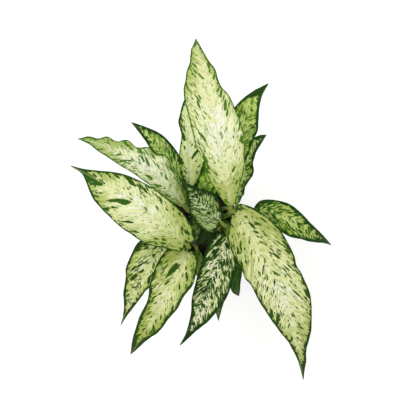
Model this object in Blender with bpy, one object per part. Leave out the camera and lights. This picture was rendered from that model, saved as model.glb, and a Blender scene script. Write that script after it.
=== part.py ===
"""Potted dieffenbachia, modelled at its real size: metres, +Z up.

The origin is the centre of the pot's foot, on the surface that the pot stands on. Three canes stand
in holes in the potting mix. Each cane carries its petioles, grown in one with it, and each petiole
ends in one leaf blade.
"""

import math
from dataclasses import dataclass

import bmesh
import bpy
from mathutils import Matrix, Vector

# Driving dimensions, in metres unless a name says otherwise
MM = 0.001
CLEARANCE = 0.3 * MM

# The pot
POT_HEIGHT = 112 * MM
POT_FOOT_RADIUS = 43 * MM
POT_RIM_RADIUS = 62 * MM
RIM_HEIGHT = 24 * MM
RIM_STEP = 3.5 * MM
RIM_TAPER = 1.5 * MM
POT_WALL = 5 * MM
POT_FLOOR = 7 * MM
POT_EDGE_ROUND = 1.6 * MM
ROUND_STEPS = 3
POT_SIDES = 48
DRAIN_HOLES = 3
DRAIN_HOLE_SIDES = 16
DRAIN_HOLE_RADIUS = 4 * MM
DRAIN_CIRCLE_RADIUS = 22 * MM

# The potting mix
SOIL_TOP = 99 * MM
SOIL_MOUND = 3 * MM
SOIL_BUMP = 0.8 * MM
SOIL_BUMPS_ROUND = (5, 2)
SOIL_BUMPS_OUT = (7, 11)
SOIL_RINGS = 5
SOIL_EDGE = 2 * MM

# The canes
CANE_SIDES = 12
CANE_DEPTH = 45 * MM
CANE_TOP_SHARE = 0.85
CANE_TIP_SHARE = 0.7
CANE_LEAN_POWER = 1.5
CANE_STRAIGHT_END = SOIL_TOP + SOIL_MOUND + 1 * MM
CANE_RING_SWELLING = 0.8 * MM
LEAF_NODE_SPACING = 6 * MM
RING_SHARE = 0.3
LOWEST_NODE = 13 * MM

# The rolled youngest leaf on each cane
SPEAR_LENGTH = 48 * MM
SPEAR_ROOT = 6 * MM
SPEAR_RADIUS = 3 * MM
SPEAR_POINT = 0.5 * MM
SPEAR_SIDES = 8
SPEAR_SHARES = (0, 0.3, 0.65, 0.9, 1)

# The petioles
PETIOLE_SIDES = 8
PETIOLE_RINGS = 9
PETIOLE_TOP_RADIUS = 2.3 * MM
SHEATH_RADIUS = 4.6 * MM
SHEATH_SHARE = 0.5
PETIOLE_TAPER = 0.25
PETIOLE_END = 3 * MM
PETIOLE_DROP = 1.8 * MM
RISE_SHARE = 0.45
BEND_SHARE = 0.2

# The blades
BLADE_THICKNESS = 0.9 * MM
KEEL_DEPTH = 3 * MM
KEEL_SHOULDER = 0.35
RIB_TAPER = 0.85
RIB_LIMIT = 0.6
MIDWAY = 0.5
FOLD_FADE = 0.5
TIP_HALF_WIDTH = 0.5 * MM
TIP_DROOP = 5 * MM
TIP_SHARE = 0.18
MARGIN_CURL = 0.3
LOBE_WIDTH = 12 * MM
LOBE_FADE = 8
ROW_SPACING = 12 * MM
LEAST_ROWS = 9
ROWS_A_WAVE = 3.5
COLUMNS = 7
ROW_CROWDING = 1.3
STATIONS = (0, 0.05, 0.15, 0.3, 0.45, 0.6, 0.75, 0.9, 1)
AXIS_STEP = 0.002

# Faces that meet at more than this are shaded as an edge
SHARP_ANGLE = math.radians(40)

# Colours of the blades: cream with green flecks, green with cream flecks, and plain dark green
PALE = (0.66, 0.74, 0.40)
MOTTLED = (0.30, 0.45, 0.14)
DARK = (0.05, 0.14, 0.05)
STALK_GREEN = (0.24, 0.33, 0.11)
STONEWARE = (0.10, 0.07, 0.05)
MIX_BROWN = (0.06, 0.04, 0.025)
CLAY_ROUGHNESS = 0.6
MIX_ROUGHNESS = 0.95
STALK_ROUGHNESS = 0.5
BLADE_ROUGHNESS = 0.4


@dataclass
class Cane:
    """One cane: where it leaves the potting mix, where it ends, and its radius, in millimetres."""

    name: str
    foot: tuple
    top: tuple
    radius: float


@dataclass
class Leaf:
    """One leaf, in millimetres and degrees.

    base, middle and tip are points of the midrib, the middle one at half its curve. left and right are
    the half-widths at the stations of the midrib, seen from above with the tip ahead. lobes sweep the
    base's left and right margins back beside the petiole, fold lifts both halves off the midrib, and
    roll turns the blade about the midrib, right side down. The margins wave up and down by wave_height,
    the left and the right one also out and in by scallop, and hook bends the tip to the right.
    """

    name: str
    cane: str
    node: int
    base: tuple
    middle: tuple
    tip: tuple
    left: tuple
    right: tuple
    color: tuple = PALE
    lobes: tuple = (4, 4)
    fold: float = 14
    roll: float = 0
    waves: float = 4
    wave_height: float = 2.5
    phase: float = 0
    scallop: tuple = (0.5, 0.5)
    hook: float = 0


CANES = [
    Cane("stem_right", foot=(26, 6), top=(30, 8, 166), radius=7.5),
    Cane("stem_front", foot=(-18, -20), top=(-15, -23, 146), radius=7),
    Cane("stem_back", foot=(-8, 23), top=(-6, 26, 144), radius=6.5),
]

LEAVES = [
    Leaf("leaf_back_main", "stem_right", 6, (48, 22, 295), (28, 128, 355), (3, 237, 320),
         left=(9, 17, 24, 29.5, 32.5, 27.5, 13), right=(10, 19, 30, 32, 25, 14, 6),
         lobes=(4, 4), roll=-4, waves=5, wave_height=3, phase=0.4),
    Leaf("leaf_back_pale", "stem_back", 2, (-4, 48, 262), (-6, 109, 305), (-4, 171, 300),
         left=(6, 12, 14, 11.5, 11.5, 12, 7), right=(9, 18, 23, 23, 20, 15, 7),
         lobes=(4, 4), roll=6, waves=3.5, wave_height=3, phase=2.0),
    Leaf("leaf_back_dark", "stem_back", 1, (7, 24, 270), (48, 98, 310), (98, 182, 295),
         left=(9, 16, 20, 22, 24, 21.5, 12), right=(8, 16, 23, 25, 23, 13.5, 2),
         color=MOTTLED, lobes=(4, 4), roll=5, waves=4, wave_height=2.5, phase=1.1),
    Leaf("leaf_back_small", "stem_right", 4, (58, 25, 262), (68, 74, 295), (96, 115, 285),
         left=(6, 11, 15, 17, 17, 14, 8), right=(5, 7, 10.5, 13, 7.5, 4, 2),
         color=MOTTLED, lobes=(3, 3), roll=8, waves=3, wave_height=2.5, phase=3.0),
    Leaf("leaf_left_dark", "stem_back", 0, (-15, 43, 245), (-42, 92, 268), (-84, 134, 255),
         left=(5, 10, 12.5, 12, 10, 6, 3), right=(5, 10, 16, 18, 17, 12, 5),
         color=MOTTLED, lobes=(2, 2), roll=-6, waves=3, wave_height=1.5, phase=0.0),
    Leaf("leaf_left_wavy", "stem_back", 3, (-13, 22, 272), (-78, 80, 305), (-154, 111, 275),
         left=(7, 12.5, 13.5, 14, 14, 9.5, 3.5), right=(9, 18, 28, 25, 19, 12, 6),
         lobes=(3, 3), roll=5, waves=6.7, wave_height=3, phase=6, scallop=(0.3, 2.5)),
    Leaf("leaf_left_main", "stem_front", 3, (-11, -28, 280), (-74, 25, 325), (-160, 74, 300),
         left=(15, 26, 35, 36.5, 33.5, 25, 3.5), right=(15, 25, 30, 30, 27, 18, 5),
         lobes=(12, 18), roll=-4, waves=4, wave_height=2.5, phase=2.4),
    Leaf("leaf_front_low", "stem_front", 0, (-38, -25, 235), (-71, -78, 245), (-103, -145, 195),
         left=(8, 14, 18, 18, 13, 8, 3), right=(16, 27, 30, 26, 19, 10, 2),
         lobes=(6, 6), roll=8, waves=4, wave_height=2, phase=1.7),
    Leaf("leaf_front_left", "stem_front", 2, (-9, -37, 252), (-37, -100, 268), (-88, -183, 215),
         left=(12, 21, 24, 21, 19, 14.5, 5.5), right=(17, 28, 32, 28, 20, 17.5, 9),
         lobes=(9, 12), roll=-5, waves=4.5, wave_height=2.5, phase=0.3),
    Leaf("leaf_front_streaked", "stem_right", 2, (45, -17, 242), (20, -87, 250), (-20, -171, 212),
         left=(12, 18, 23, 27, 26.5, 18, 7.5), right=(15, 21.5, 22, 20.5, 16.5, 7, 0.9),
         color=MOTTLED, lobes=(5, 5), roll=-5, waves=4, wave_height=2, phase=2.8),
    Leaf("leaf_front_plain", "stem_right", 1, (49, -25, 205), (58, -64, 215), (62, -104, 195),
         left=(5, 8, 10, 9, 6.5, 3.5, 2), right=(6, 10, 13, 14, 14, 13, 9),
         color=DARK, lobes=(2, 2), waves=2, wave_height=1.5, phase=0.9),
    Leaf("leaf_front_lowest", "stem_right", 0, (37, -30, 180), (37, -88, 185), (34, -143, 150),
         left=(4, 8, 10, 9, 7.5, 5, 2), right=(4, 8, 10, 12, 12, 9, 4),
         color=DARK, lobes=(1, 1), waves=3, wave_height=1.5, phase=2.2),
    Leaf("leaf_right_main", "stem_right", 5, (54, 12.5, 295), (106, -74, 325), (148, -213.5, 245),
         left=(17, 28, 35, 34.5, 34.5, 27, 8.5), right=(13, 26, 33, 33, 27.5, 15.5, 3),
         lobes=(11, 6), roll=4, waves=5, wave_height=2.5, phase=1.5),
    Leaf("leaf_right_dark", "stem_right", 3, (79, 13, 262), (130, 5, 290), (185, -31, 250),
         left=(7, 16.5, 18, 16, 10.5, 5, 2), right=(8, 14, 20, 23, 22, 18, 7),
         color=MOTTLED, lobes=(5, 5), roll=6, waves=3.5, wave_height=2.5, phase=0.6),
    Leaf("leaf_young", "stem_right", 7, (36, 0.5, 275), (7, 29, 299), (-17.5, 59, 325),
         left=(20, 24, 25, 21, 13, 6, 2.5), right=(9, 15, 20, 20, 13, 6, 2),
         color=MOTTLED, lobes=(3, 3), roll=6, waves=2, wave_height=1.5, phase=1.9),
    Leaf("leaf_first", "stem_front", 1, (4, -21, 225), (1, -5, 240), (-4, 10, 240),
         left=(3, 6, 8, 9, 8, 5, 2), right=(3, 6, 8, 9, 8, 5, 2),
         color=DARK, lobes=(1, 1), waves=1.5, wave_height=1, phase=0.5),
    Leaf("leaf_middle_dark", "stem_right", 8, (32, -10, 233), (18, -20, 243), (-1, -31, 230),
         left=(4, 8, 10, 11, 9, 6, 3), right=(4, 8, 10, 11, 9, 6, 3),
         color=DARK, lobes=(1, 1), waves=2, wave_height=1, phase=1.2),
    Leaf("leaf_front_narrow", "stem_front", 4, (3.5, -40, 185), (6, -62, 190), (7, -84, 172),
         left=(4, 7, 9, 10, 9, 6, 3), right=(4, 7, 9, 9, 8, 5, 2),
         color=MOTTLED, lobes=(1, 1), waves=2, wave_height=1, phase=2.6),
]


def clear_scene():
    """Remove every object that the file opened with."""
    for scene_object in list(bpy.data.objects):
        bpy.data.objects.remove(scene_object, do_unlink=True)


def make_material(name, color, roughness):
    """A Principled material of one colour."""
    material = bpy.data.materials.new(name)
    material.use_nodes = True
    shader = material.node_tree.nodes["Principled BSDF"]
    shader.inputs["Base Color"].default_value = (*color, 1)
    shader.inputs["Roughness"].default_value = roughness
    material.diffuse_color = (*color, 1)
    return material


def add_object(name, points, faces, material=None):
    """An object from points and faces, its faces turned outwards."""
    mesh = bpy.data.meshes.new(name)
    mesh.from_pydata([tuple(point) for point in points], [], faces)
    editable = bmesh.new()
    editable.from_mesh(mesh)
    bmesh.ops.recalc_face_normals(editable, faces=editable.faces)
    editable.to_mesh(mesh)
    editable.free()
    mesh.shade_smooth()
    mesh.set_sharp_from_angle(angle=SHARP_ANGLE)
    new_object = bpy.data.objects.new(name, mesh)
    bpy.context.scene.collection.objects.link(new_object)
    if material:
        mesh.materials.append(material)
    return new_object


def apply_boolean(target, operation, others):
    """Join or cut the target with other objects in one EXACT Boolean, then remove those objects."""
    operands = bpy.data.collections.new(target.name + "_operands")
    bpy.context.scene.collection.children.link(operands)
    for other in others:
        bpy.context.scene.collection.objects.unlink(other)
        operands.objects.link(other)
    modifier = target.modifiers.new("Join or cut", "BOOLEAN")
    modifier.operation = operation
    modifier.operand_type = "COLLECTION"
    modifier.collection = operands
    modifier.solver = "EXACT"
    evaluated = target.evaluated_get(bpy.context.evaluated_depsgraph_get())
    result = bpy.data.meshes.new_from_object(evaluated)
    target.modifiers.clear()
    target.data = result
    for other in others:
        bpy.data.objects.remove(other, do_unlink=True)
    bpy.data.collections.remove(operands)


def skin_rings(rings):
    """Points and faces of a closed solid through rings of equal point counts, its ends capped."""
    count = len(rings[0])
    points = [point for ring in rings for point in ring]
    faces = []
    for row in range(len(rings) - 1):
        for side in range(count):
            following = (side + 1) % count
            faces.append((
                row * count + side,
                row * count + following,
                (row + 1) * count + following,
                (row + 1) * count + side,
            ))
    last = (len(rings) - 1) * count
    faces.append(tuple(range(count)))
    faces.append(tuple(range(last, last + count)))
    return points, faces


def turned_ring(radius, height, sides):
    """One level ring of points round the Z axis."""
    turns = [2 * math.pi * side / sides for side in range(sides)]
    return [Vector((radius * math.cos(turn), radius * math.sin(turn), height)) for turn in turns]


def rounded_corner(corner_radius, corner_height, inward, downward):
    """Profile points that round one corner; inward and downward are +1 or -1 towards its centre."""
    points = []
    for step in range(ROUND_STEPS + 1):
        turn = 0.5 * math.pi * step / ROUND_STEPS
        points.append((
            corner_radius + inward * POT_EDGE_ROUND * (1 - math.sin(turn)),
            corner_height + downward * POT_EDGE_ROUND * (1 - math.cos(turn)),
        ))
    return points


def inner_radius(height):
    """Radius of the pot's inside wall at a height."""
    share = (height - POT_FLOOR) / (POT_HEIGHT - POT_FLOOR)
    floor_radius = POT_FOOT_RADIUS - POT_WALL
    return floor_radius + share * (POT_RIM_RADIUS - POT_WALL - floor_radius)


def make_pot():
    """A tapered clay pot with a thick rim and three drain holes."""
    rim_bottom = POT_HEIGHT - RIM_HEIGHT
    rim_low_radius = POT_RIM_RADIUS - RIM_TAPER
    profile = [(POT_FOOT_RADIUS - POT_EDGE_ROUND, 0), (POT_FOOT_RADIUS, POT_EDGE_ROUND)]
    profile.append((rim_low_radius - RIM_STEP, rim_bottom - RIM_STEP))
    profile.append((rim_low_radius - POT_EDGE_ROUND, rim_bottom))
    profile.append((rim_low_radius, rim_bottom + POT_EDGE_ROUND))
    profile += rounded_corner(POT_RIM_RADIUS, POT_HEIGHT, -1, -1)[::-1]
    profile += rounded_corner(inner_radius(POT_HEIGHT), POT_HEIGHT, 1, -1)
    profile.append((inner_radius(POT_FLOOR), POT_FLOOR))
    rings = [turned_ring(radius, height, POT_SIDES) for radius, height in profile]
    clay = make_material("clay", STONEWARE, CLAY_ROUGHNESS)
    pot = add_object("pot", *skin_rings(rings), clay)
    cutters = []
    for hole in range(DRAIN_HOLES):
        turn = 2 * math.pi * hole / DRAIN_HOLES
        centre = Vector((math.cos(turn), math.sin(turn), 0)) * DRAIN_CIRCLE_RADIUS
        ends = [-POT_FLOOR, 2 * POT_FLOOR]
        cutter_rings = [
            [point + centre for point in turned_ring(DRAIN_HOLE_RADIUS, height, DRAIN_HOLE_SIDES)]
            for height in ends
        ]
        cutters.append(add_object("drain_cutter", *skin_rings(cutter_rings)))
    apply_boolean(pot, "DIFFERENCE", cutters)
    return pot


def soil_height(radius, turn):
    """Height of the potting mix: a low mound with small bumps."""
    share = radius / inner_radius(SOIL_TOP)
    waves = zip(SOIL_BUMPS_ROUND, SOIL_BUMPS_OUT)
    bumps = math.prod(math.sin(around * turn + outward * share) for around, outward in waves)
    return SOIL_TOP + SOIL_MOUND * (1 - share * share) + SOIL_BUMP * bumps * share


def make_soil():
    """The potting mix that fills the pot, with a plain hole for each cane."""
    low = POT_FLOOR + CLEARANCE
    wall_gap = CLEARANCE / math.cos(math.pi / POT_SIDES)
    rings = [
        turned_ring(inner_radius(low) - wall_gap, low, POT_SIDES),
        turned_ring(inner_radius(SOIL_TOP) - wall_gap, SOIL_TOP - SOIL_BUMP, POT_SIDES),
    ]
    for level in range(SOIL_RINGS, 0, -1):
        radius = (inner_radius(SOIL_TOP) - SOIL_EDGE) * level / SOIL_RINGS
        ring = turned_ring(radius, 0, POT_SIDES)
        for side, point in enumerate(ring):
            point.z = soil_height(radius, 2 * math.pi * side / POT_SIDES)
        rings.append(ring)
    mix = make_material("potting_mix", MIX_BROWN, MIX_ROUGHNESS)
    soil = add_object("soil", *skin_rings(rings), mix)
    cutters = []
    for cane in CANES:
        hole_radius = cane.radius * MM + CLEARANCE
        foot = Vector((*cane.foot, 0)) * MM
        hole_bottom = SOIL_TOP - CANE_DEPTH - CLEARANCE
        hole_rings = [
            [point + foot for point in turned_ring(hole_radius, height, CANE_SIDES)]
            for height in (hole_bottom, POT_HEIGHT)
        ]
        cutters.append(add_object("cane_hole_cutter", *skin_rings(hole_rings)))
    apply_boolean(soil, "DIFFERENCE", cutters)
    return soil


def tube_rings(centres, radii, sides):
    """Rings of a tube through centres, each square to the path and turned as the one before."""
    rings = []
    side = Vector((1, 0, 0))
    for index, centre in enumerate(centres):
        before = centres[max(index - 1, 0)]
        after = centres[min(index + 1, len(centres) - 1)]
        along = (after - before).normalized()
        side = (side - along * side.dot(along)).normalized()
        other = along.cross(side)
        ring = []
        for corner in range(sides):
            turn = 2 * math.pi * corner / sides
            ring.append(centre + (side * math.cos(turn) + other * math.sin(turn)) * radii[index])
        rings.append(ring)
    return rings


def cane_axis(cane, height):
    """Point of a cane's axis at a height: upright in the potting mix, then leaning to its top."""
    foot = Vector((*cane.foot, 0)) * MM
    top = Vector(cane.top) * MM
    share = max(0, (height - SOIL_TOP) / (top.z - SOIL_TOP))
    centre = foot.lerp(top, share ** CANE_LEAN_POWER)
    centre.z = height
    return centre


def node_height(node):
    """Height at which the leaf of that number, counted from the lowest, grows on its cane."""
    return SOIL_TOP + LOWEST_NODE + node * LEAF_NODE_SPACING


def make_cane(cane):
    """The bare cane, with a slight swelling at each leaf node."""
    heights = [SOIL_TOP - CANE_DEPTH, CANE_STRAIGHT_END]
    radii = [cane.radius * MM] * 2
    top = cane.top[2] * MM
    node = 0
    while node_height(node) < top - LEAF_NODE_SPACING / 2:
        ring = node_height(node)
        taper = 1 - (1 - CANE_TOP_SHARE) * node * LEAF_NODE_SPACING / (top - SOIL_TOP)
        heights += [ring, ring + RING_SHARE * LEAF_NODE_SPACING]
        radii += [cane.radius * MM * taper + CANE_RING_SWELLING, cane.radius * MM * taper]
        node += 1
    heights.append(top)
    radii.append(cane.radius * MM * CANE_TIP_SHARE)
    centres = [cane_axis(cane, height) for height in heights]
    rings = tube_rings(centres, radii, CANE_SIDES)
    for level in range(2):
        rings[level] = [
            point + Vector((*cane.foot, 0)) * MM
            for point in turned_ring(radii[level], heights[level], CANE_SIDES)
        ]
    return add_object(cane.name, *skin_rings(rings))


def make_spear(cane):
    """The rolled youngest leaf, a slim spike on the top of the cane."""
    root = cane_axis(cane, cane.top[2] * MM - SPEAR_ROOT)
    lean = (cane_axis(cane, cane.top[2] * MM) - cane_axis(cane, SOIL_TOP)).normalized()
    centres = [root + lean * SPEAR_LENGTH * share for share in SPEAR_SHARES]
    radii = [SPEAR_RADIUS * (1 - share ** 3) + SPEAR_POINT for share in SPEAR_SHARES]
    return add_object("spear", *skin_rings(tube_rings(centres, radii, SPEAR_SIDES)))


def midrib_point(leaf, share):
    """Point of the midrib: a curve through base, middle and tip whose end droops and hooks."""
    base, middle, tip = (Vector(point) * MM for point in (leaf.base, leaf.middle, leaf.tip))
    handle = 2 * middle - (base + tip) / 2
    point = base * (1 - share) ** 2 + handle * 2 * share * (1 - share) + tip * share ** 2
    past = max(0, share - 1 + TIP_SHARE) / TIP_SHARE
    sideways = (tip - middle).cross(Vector((0, 0, 1))).normalized()
    return point + (sideways * leaf.hook * MM - Vector((0, 0, TIP_DROOP))) * past ** 2


def blade_axes(leaf, share):
    """Directions of the blade there: along the midrib, to its right, and up through it."""
    ahead = midrib_point(leaf, share + AXIS_STEP)
    behind = midrib_point(leaf, share - AXIS_STEP)
    along = (ahead - behind).normalized()
    right = along.cross(Vector((0, 0, 1))).normalized()
    turned = Matrix.Rotation(math.radians(leaf.roll), 3, along)
    right = turned @ right
    return along, right, right.cross(along)


def rib_half_width(share):
    """Half-width of the thick midrib, which narrows towards the tip."""
    return PETIOLE_TOP_RADIUS * (1 - RIB_TAPER * share)


def half_width(widths, share):
    """Half-width of the blade: a smooth curve through the stations, blunt at the base."""
    values = [PETIOLE_TOP_RADIUS / MM, *widths, TIP_HALF_WIDTH / MM]
    places = [math.sqrt(station) for station in STATIONS]
    here = math.sqrt(share)
    span = 0
    while span < len(places) - 2 and here > places[span + 1]:
        span += 1
    slopes = []
    for end in (span, span + 1):
        low = max(end - 1, 0)
        high = min(end + 1, len(places) - 1)
        slopes.append((values[high] - values[low]) / (places[high] - places[low]))
    width = places[span + 1] - places[span]
    part = (here - places[span]) / width
    curve = values[span] * (1 + 2 * part) * (1 - part) ** 2
    curve += values[span + 1] * part ** 2 * (3 - 2 * part)
    curve += slopes[0] * width * part * (1 - part) ** 2
    curve += slopes[1] * width * part ** 2 * (part - 1)
    return max(curve * MM, TIP_HALF_WIDTH)


def blade_row(leaf, share):
    """Top and bottom points of the blade across the midrib, from its left margin to its right."""
    along, right, up = blade_axes(leaf, share)
    centre = midrib_point(leaf, share)
    fold = math.radians(leaf.fold) * (1 - FOLD_FADE * share)
    keel = KEEL_DEPTH * (1 - share)
    top, bottom = [], []
    hands = zip((-1, 1), (leaf.left, leaf.right), leaf.lobes, leaf.scallop)
    for hand, widths, lobe, scallop in hands:
        turn = 2 * math.pi * leaf.waves * share + leaf.phase + hand
        half = half_width(widths, share)
        half += scallop * MM * min(1, half / LOBE_WIDTH) ** 2 * math.sin(turn) * math.sin(math.pi * share)
        rib = min(rib_half_width(share), RIB_LIMIT * half)
        depths = {0: BLADE_THICKNESS + keel, rib: BLADE_THICKNESS + KEEL_SHOULDER * keel}
        steps = [0, rib, rib + MIDWAY * (half - rib), half]
        wave = leaf.wave_height * MM * math.sqrt(half / (max(widths) * MM)) * math.sin(turn)
        spread = min(1, (half - rib_half_width(0) * (1 - share)) / LOBE_WIDTH)
        points, unders = [], []
        for step in steps:
            out = step / half
            rise = half * math.sin(fold) * (out - MARGIN_CURL * out * out) + wave * out * out
            back = lobe * MM * spread * (1 - share) ** LOBE_FADE * out * out
            point = centre + right * hand * step * math.cos(fold) + up * rise - along * back
            points.append(point)
            unders.append(point - up * depths.get(step, BLADE_THICKNESS))
        if hand < 0:
            top += points[:0:-1]
            bottom += unders[:0:-1]
        else:
            top += points
            bottom += unders
    return top, bottom


def make_blade(leaf, material):
    """One blade: two like-triangulated faces, a rim round them, and the keel of the midrib."""
    base, middle, tip = (Vector(point) for point in (leaf.base, leaf.middle, leaf.tip))
    length = ((middle - base).length + (tip - middle).length) * MM
    rows = max(LEAST_ROWS, round(length / ROW_SPACING), round(ROWS_A_WAVE * leaf.waves))
    shares = [(row / rows) ** ROW_CROWDING for row in range(rows + 1)]
    points, faces = [], []
    for share in shares:
        top, bottom = blade_row(leaf, share)
        points += top + bottom
    for row in range(rows):
        near = row * 2 * COLUMNS
        far = near + 2 * COLUMNS
        for column in range(COLUMNS - 1):
            for left in (near + column, near + COLUMNS + column):
                over = left + 2 * COLUMNS
                if column < COLUMNS // 2:
                    faces += [(left, left + 1, over), (left + 1, over + 1, over)]
                else:
                    faces += [(left, left + 1, over + 1), (left, over + 1, over)]
        for margin in (0, COLUMNS - 1):
            faces.append((near + margin, far + margin, far + COLUMNS + margin, near + COLUMNS + margin))
    for end in (0, rows * 2 * COLUMNS):
        for left in range(end, end + COLUMNS - 1):
            faces.append((left, left + 1, left + 1 + COLUMNS, left + COLUMNS))
    return add_object(leaf.name, points, faces, material)


def make_petiole(leaf, cane):
    """The leaf's stalk: a sheath on the cane that narrows to the base of the blade."""
    start = cane_axis(cane, node_height(leaf.node))
    along, _, up = blade_axes(leaf, 0)
    end = Vector(leaf.base) * MM - up * PETIOLE_DROP - along * CLEARANCE
    bend = end - along * PETIOLE_END
    reach = (bend - start).length
    handles = [start, start + Vector((0, 0, RISE_SHARE * reach)), bend - along * BEND_SHARE * reach, bend]
    centres, radii = [], []
    for ring in range(PETIOLE_RINGS + 1):
        share = ring / PETIOLE_RINGS
        rest = 1 - share
        weights = (rest ** 3, 3 * rest ** 2 * share, 3 * rest * share ** 2, share ** 3)
        centres.append(sum((handle * weight for handle, weight in zip(handles, weights)), Vector()))
        sheath = max(0, 1 - share / SHEATH_SHARE)
        slender = PETIOLE_TOP_RADIUS * (1 + PETIOLE_TAPER * rest)
        radii.append(slender + (SHEATH_RADIUS - slender) * sheath)
    rings = tube_rings([*centres, end], [*radii, PETIOLE_TOP_RADIUS], PETIOLE_SIDES)
    return add_object("petiole", *skin_rings(rings))


def make_stem(cane):
    """A cane, its petioles and its youngest leaf, joined in one solid as they grow."""
    stem = make_cane(cane)
    shoots = [make_petiole(leaf, cane) for leaf in LEAVES if leaf.cane == cane.name]
    shoots.append(make_spear(cane))
    apply_boolean(stem, "UNION", shoots)
    stem.data.materials.clear()
    stem.data.materials.append(make_material(cane.name + "_green", STALK_GREEN, STALK_ROUGHNESS))
    return stem


def make_plant():
    """The whole potted plant."""
    clear_scene()
    make_pot()
    make_soil()
    for cane in CANES:
        make_stem(cane)
    for leaf in LEAVES:
        make_blade(leaf, make_material(leaf.name + "_blade", leaf.color, BLADE_ROUGHNESS))


make_plant()
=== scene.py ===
"""The looks of the potted dieffenbachia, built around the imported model.

Every blade, stem, the pot and the potting mix is made again with a fine surface in the place of its
solid. The tables give millimetres and degrees, and the meshes are in metres, +Z up.
"""

import math
import random
from dataclasses import dataclass

import bmesh
import bpy
import numpy as np
from mathutils import Euler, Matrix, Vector, noise


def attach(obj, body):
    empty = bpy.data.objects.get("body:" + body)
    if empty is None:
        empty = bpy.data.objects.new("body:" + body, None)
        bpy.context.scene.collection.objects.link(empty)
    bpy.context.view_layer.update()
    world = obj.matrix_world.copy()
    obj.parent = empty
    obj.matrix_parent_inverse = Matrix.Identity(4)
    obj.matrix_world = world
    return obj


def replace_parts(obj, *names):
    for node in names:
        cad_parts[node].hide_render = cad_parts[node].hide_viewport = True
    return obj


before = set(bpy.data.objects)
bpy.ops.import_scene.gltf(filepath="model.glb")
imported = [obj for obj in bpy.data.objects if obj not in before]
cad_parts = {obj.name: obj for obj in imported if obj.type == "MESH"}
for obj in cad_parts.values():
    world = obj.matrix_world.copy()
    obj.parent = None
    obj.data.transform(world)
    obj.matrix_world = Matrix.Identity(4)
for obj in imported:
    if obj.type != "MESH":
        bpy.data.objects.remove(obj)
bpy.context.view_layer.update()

MM = 0.001
UP = np.array((0.0, 0.0, 1.0))
AHEAD = np.array([(1.0, 0.0, 0.0)])
ACROSS = np.array([(0.0, 1.0, 0.0)])

# The pot, as in its solid but with throwing lines
POT_HEIGHT = 112 * MM
POT_FOOT_RADIUS = 43 * MM
POT_RIM_RADIUS = 62 * MM
RIM_HEIGHT = 24 * MM
RIM_STEP = 3.5 * MM
RIM_TAPER = 1.5 * MM
POT_WALL = 5 * MM
POT_FLOOR = 7 * MM
POT_EDGE_ROUND = 1.6 * MM
POT_SIDES = 144
ROUND_STEPS = 6
WALL_STEP = 0.8 * MM
THROWING_RELIEF = 0.1 * MM
THROWING_PITCH = 3.1 * MM
DRAIN_HOLES = 3
DRAIN_HOLE_SIDES = 32
DRAIN_HOLE_RADIUS = 4 * MM
DRAIN_CIRCLE_RADIUS = 22 * MM

# The potting mix, as in its solid, with the crumbs, bark and perlite that lie on it
SOIL_TOP = 99 * MM
SOIL_MOUND = 3 * MM
SOIL_CLEARANCE = 0.3 * MM
SOIL_RINGS = 50
SOIL_SIDES = 160
CRUMB_RELIEF = 2.2 * MM
CRUMB_SIZE = 5 * MM
GRIT_RELIEF = 0.8 * MM
GRIT_SIZE = 1.5 * MM
WALL_RELIEF = 0.3
RELIEF_RISE = 3.2
BARK_PIECES = 190
BARK_LENGTHS = (3.5 * MM, 11 * MM)
PERLITE_PIECES = 60
PERLITE_LENGTHS = (1.2 * MM, 3.2 * MM)
LUMP_CLEARANCE = 3 * MM
LUMP_LEAN = 0.4
LUMP_HEIGHT = 0.6
LUMP_ROUGHNESS = 0.5
LUMP_GRAIN = 2.5

# The canes and petioles, as in their solids but with ring scars
CANE_SIDES = 40
CANE_RING_STEP = 0.5 * MM
CANE_DEPTH = 45 * MM
CANE_TOP_SHARE = 0.85
CANE_TIP_SHARE = 0.7
CANE_LEAN_POWER = 1.5
CANE_CLOSING = 4 * MM
CANE_SCAR_HEIGHT = 0.64 * MM
CANE_SCAR_WIDTH = 0.8 * MM
CANE_SCAR_TILT = 0.5 * MM
LEAF_TURN = 2.4
LEAF_NODE_SPACING = 6 * MM
LOWEST_NODE = 13 * MM
SPEAR_LENGTH = 48 * MM
SPEAR_ROOT = 6 * MM
SPEAR_RADIUS = 3 * MM
SPEAR_POINT = 0.5 * MM
SPEAR_RINGS = 60
SPEAR_TURN = 1.3
SPEAR_OVERLAP = 0.2
SPEAR_RUN = 0.6
PETIOLE_RINGS = 60
PETIOLE_SIDES = 32
PETIOLE_TOP_RADIUS = 2.3 * MM
SHEATH_RADIUS = 4.6 * MM
SHEATH_SHARE = 0.5
PETIOLE_TAPER = 0.25
PETIOLE_END = 3 * MM
PETIOLE_DROP = 1.8 * MM
RISE_SHARE = 0.45
BEND_SHARE = 0.2
PETIOLE_RUN = 9 * MM
PETIOLE_RUN_RINGS = 8
PETIOLE_RUN_SINK = 0.15
PETIOLE_RUN_TAPER = 0.6
GROOVE_DEPTH = 0.1
GROOVE_TURN = 0.35
SHEATH_FADE = 0.7
SHEATH_GROOVE_DEPTH = 0.45
SHEATH_GROOVE_TURN = 0.35
WING_HEIGHT = 0.3
WING_TURN = 1.05
WING_WIDTH = 0.22

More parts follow.
